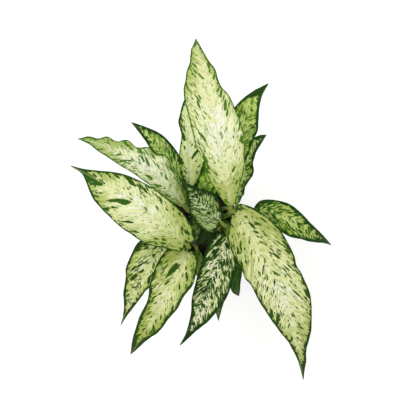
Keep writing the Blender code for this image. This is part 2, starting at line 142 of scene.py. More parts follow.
# The blades, as in their solids but thinner, with a finer grid and veins
LAMINA = 0.5 * MM
KEEL_DEPTH = 3 * MM
RIB_TAPER = 0.85
RIB_GROOVE = 0.4 * MM
RIB_GROOVE_WIDTH = 0.8
FOLD = math.radians(14)
FOLD_FADE = 0.5
TIP_HALF_WIDTH = 0.5 * MM
TIP_DROOP = 5 * MM
TIP_SHARE = 0.18
MARGIN_CURL = 0.3
LOBE_WIDTH = 12 * MM
LOBE_FADE = 8
ROW_CROWDING = 1.3
ROW_STEP = 1.15 * MM
COLUMN_STEP = 1.0 * MM
MIDRIB_POINTS = 400
STATIONS = (0, 0.05, 0.15, 0.3, 0.45, 0.6, 0.75, 0.9, 1)
VEIN_START = 1.1
VEIN_END = 1.9
VEIN_SLANT = 0.6
VEIN_SPACING = 0.3
VEIN_SPACING_LEAST = 6 * MM
VEIN_UNEVENNESS = 0.6
VEIN_UNEVEN_LENGTH = 1.7
VEIN_CREASE = 0.7
VEIN_INNER = 0.04
VEIN_INNER_FADE = 0.2
VEIN_RELIEF = 0.3 * MM
RIPPLE_HEIGHT = 0.5 * MM
RIPPLE_LENGTH = 17 * MM
SEED_STEP = 7.3

# The camera looks straight down from above the middle of the photographed frame
CAMERA_PLACE = (0.019, 0.019, 1.75)
LENS = 96.5
SENSOR = 36

# The floor, the sky and the point that the lights face
FLOOR_REACH = 8
FLOOR_COLOR = (0.93, 0.93, 0.93, 1)
FLOOR_GLOW = 0.25
SKY_STRENGTH = 0.75
WHITE = (1, 1, 1, 1)
LIGHT_AIM = (0.02, 0.02, 0.25)


@dataclass
class Cane:
    """One cane: where it leaves the potting mix, where it ends, and its radius."""

    name: str
    foot: tuple
    top: tuple
    radius: float


@dataclass
class Look:
    """The colours of a blade and how they are spread.

    The colours are display codes: white, cream and lime for the ground, green for the flecks, and deep for
    the patches, the margin and the tip. The ground is white and cream beside the midrib, more so with
    feather, and lime towards the margins and by ends towards the tip. By base it is lime towards the
    petiole, and the pale bars of a mottled blade thin out there: this is painted shade for the shaded
    middle of the plant. flecks and specks are the shares of their places that have one. bars are the width
    and length of the pale bars of a mottled blade, shade is about the share of it that they leave green,
    and lean puts more of them on its right. margin and tip are how far the dark reaches in from them. A
    patch is its share of the midrib, its share of the half-width, and its half-width and half-length along
    the veins.
    """

    colors: str
    flecks: float = 0.22
    specks: float = 0.3
    bars: tuple = ()
    shade: float = 0.5
    lean: float = 0
    feather: float = 0
    base: float = 0
    ends: float = 0
    margin: float = 1.0
    tip: float = 8
    patches: tuple = ()
    slot: str = "pale_blade"


@dataclass
class Leaf:
    """One leaf, as in its solid but with bumps, and its look.

    node is its place on the cane, counted from the lowest. base, middle and tip are points of the midrib,
    left and right the half-widths at the stations, and roll turns the blade about its midrib. The lobes
    sweep back beside the petiole. waves is the number of waves along the margins and phase where they
    start, in radians: they go up and down by wave_height, and out and in by scallop, the left one and the
    right one. A bump of a margin is its share of the midrib, its side, -1 for left and 1 for right, and
    its height and reach.
    """

    name: str
    cane: str
    node: int
    base: tuple
    middle: tuple
    tip: tuple
    left: tuple
    right: tuple
    look: Look
    lobes: tuple = (4, 4)
    roll: float = 0
    waves: float = 4
    wave_height: float = 2.5
    phase: float = 0
    scallop: tuple = (0.5, 0.5)
    bumps: tuple = ()


CANES = [
    Cane("stem_right", foot=(26, 6), top=(30, 8, 166), radius=7.5),
    Cane("stem_front", foot=(-18, -20), top=(-15, -23, 146), radius=7),
    Cane("stem_back", foot=(-8, 23), top=(-6, 26, 144), radius=6.5),
]

LEAVES = [
    Leaf("leaf_back_main", "stem_right", 6, (48, 22, 295), (28, 128, 355), (3, 237, 320),
         left=(9, 17, 24, 29.5, 32.5, 27.5, 13), right=(10, 19, 30, 32, 25, 14, 6),
         roll=-4, waves=5, wave_height=3, phase=0.4,
         bumps=((0.86, -1, -3, 9), (0.95, -1, 1.6, 5), (0.72, -1, 0.8, 8), (0.78, 1, 2.2, 9),
                (0.68, 1, -1.8, 9), (0.38, -1, 4, 14), (0.28, -1, -3, 6), (0.19, -1, 4, 13)),
         look=Look("f3f5e0 e6eab2 b2be68 5f8c1e 3c6812", flecks=0.19, specks=0.2, feather=0.6, base=0.66,
                   ends=0.6, margin=0.9, tip=12,
                   patches=((0.82, 0.8, 3.5, 4), (0.64, 0.66, 2.5, 4), (0.57, 0.62, 3.5, 4),
                            (0.53, 0.6, 2, 4), (0.8, -0.47, 1.5, 3), (0.65, -0.4, 1.8, 2.5),
                            (0.61, -0.5, 2.6, 3), (0.42, -0.65, 2.5, 5), (0.54, -0.7, 1.6, 2),
                            (0.38, 0.9, 3.5, 4), (0.31, -0.9, 3, 4), (0.21, -0.6, 1.5, 4),
                            (0.22, 0.5, 1.5, 4)))),
    # Painted light and shadow: its colours are painted lighter to make up for the shade of leaf_back_main
    # over it, and its long patch at 0.36 of the midrib is a painted shadow of that leaf
    Leaf("leaf_back_pale", "stem_back", 2, (-4, 48, 262), (-6, 109, 305), (-4, 171, 300),
         left=(6, 12, 14, 11.5, 11.5, 12, 7), right=(9, 18, 23, 23, 20, 15, 7),
         roll=6, waves=3.5, wave_height=3, phase=2.0,
         bumps=((0.67, -1, 2, 8), (0.54, -1, -1.8, 8)),
         look=Look("f6f8e0 edf4ba d0e07e 417102 224902", flecks=0.16, specks=0.26, feather=0.1, base=0.2,
                   margin=1.2, tip=12,
                   patches=((0.36, 0.42, 2.5, 13), (0.52, -0.6, 3, 5), (0.3, -0.85, 3, 7),
                            (0.2, 0.85, 2.5, 6)))),
    Leaf("leaf_back_dark", "stem_back", 1, (7, 24, 270), (48, 98, 310), (98, 182, 295),
         left=(9, 16, 20, 22, 24, 21.5, 12), right=(8, 16, 23, 25, 23, 13.5, 2),
         roll=5, phase=1.1,
         bumps=((0.69, 1, 2, 9),),
         look=Look("d8e49a c8da78 9cbf46 447a0a 1f4604", flecks=0.5, specks=0.5, bars=(3.2, 8.5),
                   shade=0.27, base=0.3, margin=1.8, tip=26, slot="mottled_blade")),
    Leaf("leaf_back_small", "stem_right", 4, (58, 25, 262), (68, 74, 295), (96, 115, 285),
         left=(6, 11, 15, 17, 17, 14, 8), right=(5, 7, 10.5, 13, 7.5, 4, 2),
         lobes=(3, 3), roll=8, waves=3, phase=3.0,
         bumps=((0.57, 1, -1.2, 6), (0.38, 1, 1.8, 6), (0.24, 1, -1.5, 5), (0.13, 1, 1.5, 4)),
         look=Look("dce6b4 c8d882 9aba4e 396d12 1b4408", bars=(3, 8.5), shade=0.31, margin=1.7, tip=12,
                   slot="mottled_blade")),
    Leaf("leaf_left_dark", "stem_back", 0, (-15, 43, 245), (-42, 92, 268), (-84, 134, 255),
         left=(5, 10, 12.5, 12, 10, 6, 3), right=(5, 10, 16, 18, 17, 12, 5),
         lobes=(2, 2), roll=-6, waves=3, wave_height=1.5,
         look=Look("d4e29c c2d67c 94b844 3a6c0a 183e02", flecks=0.5, specks=0.45, bars=(2.7, 8), shade=0.35,
                   lean=-0.04, margin=1.6, tip=13, slot="mottled_blade")),
    Leaf("leaf_left_wavy", "stem_back", 3, (-13, 22, 272), (-78, 80, 305), (-154, 111, 275),
         left=(7, 12.5, 13.5, 14, 14, 9.5, 3.5), right=(9, 18, 28, 25, 19, 12, 6),
         lobes=(3, 3), roll=5, waves=6.7, wave_height=3, phase=6, scallop=(0.3, 2.5),
         bumps=((0.84, 1, -1.2, 6), (0.63, 1, -1.2, 8), (0.5, 1, -3, 8), (0.77, -1, 1.2, 12)),
         look=Look("f5f6e6 eaeec4 a6b768 5f9026 3a6a16", flecks=0.25, specks=0.33, feather=0.3, base=0.27,
                   ends=0.66, margin=0.9, tip=13,
                   patches=((0.62, -0.1, 1.5, 6), (0.51, -0.05, 1.5, 6), (0.56, -0.4, 1.5, 5),
                            (0.41, 0.38, 2, 8), (0.33, -0.35, 2.5, 4), (0.24, -0.55, 1.5, 3),
                            (0.24, 0.85, 1.2, 2.5), (0.62, 0.85, 2.5, 6), (0.52, 0.8, 3, 8)))),
    Leaf("leaf_left_main", "stem_front", 3, (-11, -28, 280), (-74, 25, 325), (-160, 74, 300),
         left=(15, 26, 35, 36.5, 33.5, 25, 3.5), right=(15, 25, 30, 30, 27, 18, 5),
         lobes=(12, 18), roll=-4, phase=2.4,
         bumps=((0.85, -1, 2, 8), (0.72, -1, -1.2, 8), (0.52, -1, -1.2, 14)),
         look=Look("f0f2dc e2e7ad abbb60 417102 224902", flecks=0.2, specks=0.21, feather=0.4, base=0.58,
                   ends=0.52, margin=1.2, tip=18,
                   patches=((0.9, -0.45, 7.5, 8), (0.85, -0.42, 6.5, 9), (0.79, -0.2, 4, 10),
                            (0.575, -0.2, 4.2, 9), (0.63, -0.36, 2.4, 10), (0.83, 0.35, 2, 3),
                            (0.7, 0.8, 3, 3), (0.63, 0.88, 4.5, 8), (0.54, 0.72, 2, 3), (0.5, 0.73, 2.5, 4),
                            (0.65, -0.85, 2, 4), (0.47, -0.7, 2.2, 6), (0.36, 0.4, 1.5, 3)))),
    Leaf("leaf_front_low", "stem_front", 0, (-38, -25, 235), (-71, -78, 245), (-103, -145, 195),
         left=(8, 14, 18, 18, 13, 8, 3), right=(16, 27, 30, 26, 19, 10, 2),
         lobes=(6, 6), roll=8, wave_height=2, phase=1.7,
         bumps=((0.56, -1, -1.8, 8),),
         look=Look("eceed2 e0e7a2 a7ba4e 396306 214102", flecks=0.42, specks=0.44, ends=0.3, margin=1.9,
                   tip=34,
                   patches=((0.24, 0.88, 3.5, 7), (0.15, 0.68, 4, 4), (0.42, 0.2, 2, 4),
                            (0.51, 0.48, 2.5, 5), (0.47, -0.55, 2, 5), (0.21, 0.07, 1.5, 3)))),
    Leaf("leaf_front_left", "stem_front", 2, (-9, -37, 252), (-37, -100, 268), (-88, -183, 215),
         left=(12, 21, 24, 21, 19, 14.5, 5.5), right=(17, 28, 32, 28, 20, 17.5, 9),
         lobes=(9, 12), roll=-5, waves=4.5, phase=0.3,
         look=Look("e9ebd2 dbe0a2 a5b454 406804 254502", flecks=0.24, specks=0.37, feather=-0.05, base=0.18,
                   ends=0.7, margin=2.2, tip=28,
                   patches=((0.25, 0.26, 5.4, 9), (0.55, -0.75, 3, 4), (0.75, -0.45, 2, 5),
                            (0.38, 0.25, 1.5, 4), (0.37, -0.42, 1.5, 3), (0.86, 0.6, 2.5, 6)))),
    Leaf("leaf_front_streaked", "stem_right", 2, (45, -17, 242), (20, -87, 250), (-20, -171, 212),
         left=(12, 18, 23, 27, 26.5, 18, 7.5), right=(15, 21.5, 22, 20.5, 16.5, 7, 0.9),
         lobes=(5, 5), roll=-5, wave_height=2, phase=2.8,
         bumps=((0.28, -1, 4, 20),),
         look=Look("eceecb dee4a8 b0be68 2f590e 173904", bars=(2.4, 9), shade=0.52, feather=0.45, margin=2,
                   tip=26, slot="mottled_blade",
                   patches=((0.46, 0.1, 3.5, 5), (0.12, 0.5, 3, 7), (0.21, 0.4, 3, 5), (0.32, 0.83, 4, 10),
                            (0.6, -0.85, 2.5, 9)))),
    Leaf("leaf_front_plain", "stem_right", 1, (49, -25, 205), (58, -64, 215), (62, -104, 195),
         left=(5, 8, 10, 9, 6.5, 3.5, 2), right=(6, 10, 13, 14, 14, 13, 9),
         lobes=(2, 2), waves=2, wave_height=1.5, phase=0.9,
         look=Look("4c7422 3c621c 2d5414 274c0e 1b3b06", base=0.3, slot="dark_blade")),
    Leaf("leaf_front_lowest", "stem_right", 0, (37, -30, 180), (37, -88, 185), (34, -143, 150),
         left=(4, 8, 10, 9, 7.5, 5, 2), right=(4, 8, 10, 12, 12, 9, 4),
         lobes=(1, 1), waves=3, wave_height=1.5, phase=2.2,
         look=Look("7f9448 71883e 5b7a30 355510 203d04", slot="dark_blade")),
    Leaf("leaf_right_main", "stem_right", 5, (54, 12.5, 295), (106, -74, 325), (148, -213.5, 245),
         left=(17, 28, 35, 34.5, 34.5, 27, 8.5), right=(13, 26, 33, 33, 27.5, 15.5, 3),
         lobes=(11, 6), roll=4, waves=5, phase=1.5,
         bumps=((0.42, 1, 2, 9), (0.68, 1, 2.4, 16), (0.8, 1, -1.2, 8), (0.46, -1, -2.4, 9),
                (0.6, -1, 1, 12), (0.84, -1, -2, 12), (0.92, -1, 1.8, 9), (0.12, 1, 4, 18),
                (0.24, 1, 3.6, 22)),
         look=Look("eceed8 dfe3a6 adb866 3d6702 224202", flecks=0.26, specks=0.45, feather=0.35, base=0.43,
                   ends=0.55, margin=1.5, tip=33,
                   patches=((0.35, -0.9, 3, 4), (0.61, -0.95, 3.5, 5), (0.69, 0.73, 4, 7),
                            (0.66, 0.95, 3, 8), (0.35, 0.97, 2.5, 6), (0.8, 0.4, 2, 4),
                            (0.22, 0.68, 1.5, 6), (0.24, 0.85, 2, 4), (0.15, -0.25, 3.5, 4),
                            (0.38, -0.4, 2, 4), (0.46, -0.45, 1.5, 2), (0.59, -0.55, 1.5, 6),
                            (0.88, 0.85, 3, 9), (0.2, -0.2, 1.4, 4), (0.17, -0.5, 1.4, 4)))),
    Leaf("leaf_right_dark", "stem_right", 3, (79, 13, 262), (130, 5, 290), (185, -31, 250),
         left=(7, 16.5, 18, 16, 10.5, 5, 2), right=(8, 14, 20, 23, 22, 18, 7),
         lobes=(5, 5), roll=6, waves=3.5, phase=0.6,
         bumps=((0.65, -1, -1.5, 12),),
         look=Look("d2dda0 bfce70 8eae40 356508 163f04", bars=(3, 8), shade=0.515, lean=0.03, margin=2.4,
                   tip=18, slot="mottled_blade")),
    Leaf("leaf_young", "stem_right", 7, (36, 0.5, 275), (7, 29, 299), (-17.5, 59, 325),
         left=(20, 24, 25, 21, 13, 6, 2.5), right=(9, 15, 20, 20, 13, 6, 2),
         lobes=(3, 3), roll=6, waves=2, wave_height=1.5, phase=1.9,
         look=Look("d8e2b6 b6ca84 84a048 2d510e 153602", bars=(1.5, 7), shade=0.57, lean=-0.06, feather=0.2,
                   margin=1.8, tip=16, slot="mottled_blade")),
    Leaf("leaf_first", "stem_front", 1, (4, -21, 225), (1, -5, 240), (-4, 10, 240),
         left=(3, 6, 8, 9, 8, 5, 2), right=(3, 6, 8, 9, 8, 5, 2),
         lobes=(1, 1), waves=1.5, wave_height=1, phase=0.5,
         look=Look("8fae50 7c9c42 4f7228 2f510e 1c3806", bars=(2, 8), shade=0.6, slot="dark_blade")),
    # Its near-black colours are painted shade: a real leaf, coloured as the deep shade in the middle of the
    # plant
    Leaf("leaf_middle_dark", "stem_right", 8, (32, -10, 233), (18, -20, 243), (-1, -31, 230),
         left=(4, 8, 10, 11, 9, 6, 3), right=(4, 8, 10, 11, 9, 6, 3),
         lobes=(1, 1), waves=2, wave_height=1, phase=1.2,
         look=Look("34501f 2a4619 213c14 132902 0c1d02", slot="dark_blade")),
    Leaf("leaf_front_narrow", "stem_front", 4, (3.5, -40, 185), (6, -62, 190), (7, -84, 172),
         left=(4, 7, 9, 10, 9, 6, 3), right=(4, 7, 9, 9, 8, 5, 2),
         lobes=(1, 1), waves=2, wave_height=1, phase=2.6,
         look=Look("8c9a50 7c8c44 66783a 3d591c 28430e", slot="mottled_blade")),
]


def linear(code):
    """Linear colour, with alpha, of a display code."""
    values = [int(code[place:place + 2], 16) / 255 for place in (0, 2, 4)]
    return (*(v / 12.92 if v <= 0.04045 else ((v + 0.055) / 1.055) ** 2.4 for v in values), 1)


class Field:
    """An output of a node, for arithmetic with numbers and with other outputs."""

    def __init__(self, surface, socket):
        self.surface = surface
        self.socket = socket

    def __add__(self, other):
        return self.surface.math("ADD", self, other)

    def __sub__(self, other):
        return self.surface.math("SUBTRACT", self, other)

    def __rsub__(self, other):
        return self.surface.math("SUBTRACT", other, self)

    def __mul__(self, other):
        return self.surface.math("MULTIPLY", self, other)

    def __truediv__(self, other):
        return self.surface.math("DIVIDE", self, other)

    def __pow__(self, other):
        return self.surface.math("POWER", self, other)

    def __abs__(self):
        return self.surface.math("ABSOLUTE", self)

    __radd__ = __add__
    __rmul__ = __mul__

    def beside(self, output):
        """Another output of the same node."""
        return Field(self.surface, self.socket.node.outputs[output])


class Surface:
    """A Principled material whose pattern is built node by node, of numbers and fields."""

    def __init__(self, name, roughness=0.5, **constants):
        self.material = bpy.data.materials.new(name)
        self.material.use_nodes = True
        self.tree = self.material.node_tree
        self.shader = self.tree.nodes["Principled BSDF"]
        self.shader.inputs["Roughness"].default_value = roughness
        for socket, value in constants.items():
            self.shader.inputs[socket.replace("_", " ")].default_value = value

    def node(self, kind, inputs, output=0, **settings):
        """An output of a new node, whose sockets are given by name or number."""
        made = self.tree.nodes.new(kind)
        for setting, value in settings.items():
            setattr(made, setting, value)
        self.feed(made, inputs)
        return Field(self, made.outputs[output])

    def feed(self, node, inputs):
        for socket, value in inputs.items():
            if isinstance(value, Field):
                self.tree.links.new(value.socket, node.inputs[socket])
            else:
                node.inputs[socket].default_value = value

    def math(self, operation, *values):
        return self.node("ShaderNodeMath", dict(enumerate(values)), operation=operation)

    def attribute(self, name):
        return self.node("ShaderNodeAttribute", {}, "Fac", attribute_name=name)

    def place(self):
        """The point on the object, in metres."""
        return self.node("ShaderNodeTexCoord", {}, "Object")

    def vector(self, x, y, z=0.0):
        return self.node("ShaderNodeCombineXYZ", {"X": x, "Y": y, "Z": z})

    def vectors(self, operation, first, second):
        return self.node("ShaderNodeVectorMath", {0: first, 1: second}, operation=operation)

    def stretched(self, vector, scale):
        """The vector with each of its parts scaled."""
        return self.vectors("MULTIPLY", vector, scale)

    def noise(self, vector, scale=1, detail=2, roughness=0.5, distortion=0, output="Fac"):
        """Soft noise about 0.5."""
        inputs = {"Vector": vector, "Scale": scale, "Detail": detail, "Roughness": roughness,
                  "Distortion": distortion}
        return self.node("ShaderNodeTexNoise", inputs, output)

    def step(self, value, low, high):
        """0 below low and 1 above high, smooth between."""
        inputs = {"Value": value, "From Min": low, "From Max": high}
        return self.node("ShaderNodeMapRange", inputs, "Result", interpolation_type="SMOOTHSTEP")

    def fall(self, value, low, high):
        """1 below low and 0 above high, smooth between."""
        return 1 - self.step(value, low, high)

    def blend(self, share, first, second):
        """From the first colour to the second by a share."""
        first, second = (linear(color) if isinstance(color, str) else color for color in (first, second))
        return self.node("ShaderNodeMix", {0: share, 6: first, 7: second}, 2, data_type="RGBA")

    def cover(self, color, share, field, low, high, other):
        """A colour with up to a share of another over it where a field rises from low to high."""
        return self.blend(share * self.step(field, low, high), color, other)

    def tube_place(self, turn, height):
        """A place on a tube, by the turn round it and a height along it."""
        return self.vector(self.math("SINE", turn), self.math("COSINE", turn), height)

    def finished(self, color, height, distance, strength, **fields):
        """The material in its colour, with a fine relief and the shader's other varying fields."""
        relief = {"Height": height, "Distance": distance, "Strength": strength}
        relief = self.node("ShaderNodeBump", relief, "Normal")
        self.feed(self.shader, {"Base Color": color, "Normal": relief, **fields})
        return self.material


def unit(vectors):
    """Vectors of length 1."""
    return vectors / np.linalg.norm(vectors, axis=-1, keepdims=True)


def add_object(name, data):
    """A new object in the scene."""
    made = bpy.data.objects.new(name, data)
    bpy.context.scene.collection.objects.link(made)
    return made


def add_piece(name, points, faces, material, values=None, sharp=40):
    """A piece that rides on the body, with point values for its material to read."""
    mesh = bpy.data.meshes.new(name)
    mesh.from_pydata(np.asarray(points).tolist(), [], [list(face) for face in faces])
    for label, numbers in (values or {}).items():
        mesh.attributes.new(label, "FLOAT", "POINT").data.foreach_set("value", np.ravel(numbers))
    mesh.shade_smooth()
    mesh.set_sharp_from_angle(angle=math.radians(sharp))
    mesh.materials.append(material)
    piece = add_object(name, mesh)
    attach(piece, "root")
    return piece


def grid_faces(numbers):
    """Quads over a grid of point numbers, facing up where columns run right and rows run ahead."""
    corners = (numbers[:-1, :-1], numbers[:-1, 1:], numbers[1:, 1:], numbers[1:, :-1])
    return np.stack(corners, -1).reshape(-1, 4)


def tube_faces(rings, sides):
    """Quads round a tube of rings, and its two end faces."""
    numbers = np.arange(rings * sides).reshape(rings, sides)
    around = grid_faces(np.hstack((numbers, numbers[:, :1])))
    return [*around.tolist(), numbers[0, ::-1].tolist(), numbers[-1].tolist()]


def full_turn(sides):
    """Evenly spaced turns round a ring."""
    return np.linspace(0, 2 * math.pi, sides, endpoint=False)


def add_tube(name, centres, sides, tops, radii, turns, material, **fields):
    """A closed tube. Its turns are measured from the top directions.

    radii have one row a ring, and the directions one row a ring or a single row for all.
    """
    across = sides[:, None] * np.sin(turns)[None, :, None] + tops[:, None] * np.cos(turns)[None, :, None]
    points = (centres[:, None] + across * radii[..., None]).reshape(-1, 3)
    values = {label: np.broadcast_to(field, radii.shape) for label, field in fields.items()}
    return add_piece(name, points, tube_faces(*radii.shape), material, values)


def midrib(leaf, share):
    """Points of the midrib at an array of shares of it."""
    base, middle, tip = (np.array(point, float) * MM for point in (leaf.base, leaf.middle, leaf.tip))
    handle = 2 * middle - (base + tip) / 2
    share = np.asarray(share, float)[..., None]
    points = base * (1 - share) ** 2 + handle * 2 * share * (1 - share) + tip * share ** 2
    past = np.maximum(0, share - 1 + TIP_SHARE) / TIP_SHARE
    return points - UP * TIP_DROOP * past ** 2


def blade_axes(leaf, share):
    """Directions of the blade at an array of shares: along the midrib, to its right, and up."""
    reach = 0.002
    share = np.asarray(share, float)
    along = unit(midrib(leaf, share + reach) - midrib(leaf, share - reach))
    level = unit(np.cross(along, UP))
    roll = math.radians(leaf.roll)
    right = level * math.cos(roll) + np.cross(along, level) * math.sin(roll)
    return along, right, np.cross(right, along)


def rib_half_width(share):
    """Half-width of the thick midrib, which narrows towards the tip."""
    return PETIOLE_TOP_RADIUS * (1 - RIB_TAPER * share)


def half_width(widths, share):
    """Half-width of the blade at an array of shares: a smooth curve through the stations."""
    values = np.array([PETIOLE_TOP_RADIUS / MM, *widths, TIP_HALF_WIDTH / MM]) * MM
    places = np.sqrt(STATIONS)
    last = len(values) - 1
    before = np.maximum(np.arange(last + 1) - 1, 0)
    after = np.minimum(np.arange(last + 1) + 1, last)
    slopes = (values[after] - values[before]) / (places[after] - places[before])
    here = np.sqrt(share)
    span = np.clip(np.searchsorted(places, here, side="left") - 1, 0, last - 1)
    width = places[span + 1] - places[span]
    part = (here - places[span]) / width
    curve = values[span] * (1 + 2 * part) * (1 - part) ** 2
    curve += values[span + 1] * part ** 2 * (3 - 2 * part)
    curve += slopes[span] * width * part * (1 - part) ** 2
    curve += slopes[span + 1] * width * part ** 2 * (part - 1)
    return np.maximum(curve, TIP_HALF_WIDTH)


def lengths_along(path):
    """Length along a path from its start to each of its points."""
    return np.concatenate(([0], np.cumsum(np.linalg.norm(np.diff(path, axis=0), axis=1))))


class Blade:
    """The grid of one blade: its points, and what its material reads at each of them."""

    def __init__(self, leaf):
        self.leaf = leaf
        fine = np.linspace(0, 1, MIDRIB_POINTS)
        run = lengths_along(midrib(leaf, fine))
        self.length = float(run[-1])
        self.widest = max(*leaf.left, *leaf.right) * MM
        rows = round(self.length / ROW_STEP)
        side_columns = round(self.widest / COLUMN_STEP)
        self.share = ((np.arange(rows + 1) / rows) ** ROW_CROWDING)[:, None]
        self.out = np.linspace(-1, 1, 2 * side_columns + 1)[None, :]
        self.along = np.interp(self.share, fine, run)
        half = np.where(self.out < 0, half_width(leaf.left, self.share), half_width(leaf.right, self.share))
        self.turn = 2 * math.pi * leaf.waves * self.share + leaf.phase + np.sign(self.out)
        depth = np.where(self.out < 0, *leaf.scallop) * MM
        scallop = depth * np.minimum(1, half / LOBE_WIDTH) ** 2 * np.sin(self.turn)
        self.half = half + scallop * np.sin(math.pi * self.share)
        for share, side, height, reach in leaf.bumps:
            away = (self.share - share) * self.length / (reach * MM)
            self.half = self.half + np.where(self.out * side > 0, height * MM * np.exp(-away ** 2), 0)
        self.half = np.maximum(self.half, TIP_HALF_WIDTH)
        self.across = self.out * self.half
        self.vein = self.vein_start(self.along, np.abs(self.across))
        self.shape()

    def vein_start(self, along, distance):
        """Where on the midrib the lateral vein through a point starts. The veins bend ahead."""
        return along - VEIN_START * distance - (VEIN_END - VEIN_START) / (2 * self.widest) * distance ** 2

    def shape(self):
        """Top and bottom points, and the sweep of the lobes beside the petiole."""
        leaf = self.leaf
        share, out, half = self.share, self.out, self.half
        along, right, up = (axis[:, None] for axis in blade_axes(leaf, share[:, 0]))
        centre = midrib(leaf, share[:, 0])[:, None]
        fold = FOLD * (1 - FOLD_FADE * share)
        hand = np.sign(out)
        reach = np.abs(out)
        widest = np.where(out < 0, max(leaf.left), max(leaf.right)) * MM
        wave = leaf.wave_height * MM * np.sqrt(half / widest) * np.sin(self.turn)
        ripple = RIPPLE_HEIGHT * np.sin(2 * math.pi * self.along / RIPPLE_LENGTH + 2 * hand + leaf.phase)
        lobe = np.where(out < 0, leaf.lobes[0], leaf.lobes[1]) * MM
        spread = np.minimum(1, (half - rib_half_width(0) * (1 - share)) / LOBE_WIDTH)
        self.back = lobe * spread * (1 - share) ** LOBE_FADE * reach ** 2
        rise = half * np.sin(fold) * (reach - MARGIN_CURL * reach ** 2) + wave * reach ** 2
        rise += ripple * reach ** 3 * np.minimum(1, half / LOBE_WIDTH) + self.relief()
        rib = rib_half_width(share)
        rise -= RIB_GROOVE * (1 - share) * np.exp(-(self.across / (RIB_GROOVE_WIDTH * rib)) ** 2)
        flat = right * (self.across * np.cos(fold))[..., None]
        self.top = centre + flat + up * rise[..., None] - along * self.back[..., None]
        depth = LAMINA * (1 - reach ** 6) + KEEL_DEPTH * (1 - share) * np.exp(-(self.across / rib) ** 2)
        self.bottom = self.top - up * depth[..., None]
        margin = np.concatenate((self.top[:, 0], self.top[:, -1]))
        self.edge = nearest_distance(self.top, margin)

    def relief(self):
        """The blade is raised between its lateral veins, most of all halfway out."""
        spacing = max(VEIN_SPACING * 2 * self.widest, VEIN_SPACING_LEAST)
        uneven = VEIN_UNEVENNESS * np.sin(self.vein / (VEIN_UNEVEN_LENGTH * spacing))
        between = np.abs(np.sin(math.pi * self.vein / spacing + uneven)) ** VEIN_CREASE
        reach = np.abs(self.out)
        inner = np.clip((reach - VEIN_INNER) / VEIN_INNER_FADE, 0, 1)
        return VEIN_RELIEF * (between - 0.5) * inner * (1 - reach ** 4) * (1 - self.share ** 6)

    def spot(self, share, out):
        """Vein start and signed distance across, in millimetres, of a place on the blade."""
        widths = self.leaf.left if out < 0 else self.leaf.right
        across = out * float(half_width(widths, np.array(share)))
        along = float(np.interp(share, self.share[:, 0], self.along[:, 0]))
        return self.vein_start(along, abs(across)) / MM, across / MM

    def build(self, material):
        """The closed mesh: both faces share the points of the margin and the base."""
        rows, columns = self.top.shape[:2]
        numbers = np.arange(rows * columns).reshape(rows, columns)
        under = numbers.copy()
        under[1:-1, 1:-1] = rows * columns + np.arange((rows - 2) * (columns - 2)).reshape(rows - 2, -1)
        points = np.concatenate((self.top.reshape(-1, 3), self.bottom[1:-1, 1:-1].reshape(-1, 3)))
        faces = np.concatenate((grid_faces(numbers), grid_faces(under)[:, ::-1]))
        everywhere = np.ones_like(self.half)
        fields = {
            "along": self.along / MM * everywhere,
            "across": self.across / MM,
            "vein": self.vein / MM,
            "edge": self.edge / MM,
            "out": self.out * everywhere,
        }
        values = {label: np.concatenate((field.ravel(), field[1:-1, 1:-1].ravel()))
                  for label, field in fields.items()}
        values["under"] = np.arange(len(points)) >= rows * columns
        name = self.leaf.name + "_blade"
        return add_piece(name, points, faces, material, values, sharp=60)


def nearest_distance(grid, line):
    """Distance from each point of a grid to the nearest point of a line."""
    nearest = [np.linalg.norm(row[:, None] - line[None], axis=2).min(axis=1) for row in grid]
    return np.array(nearest)


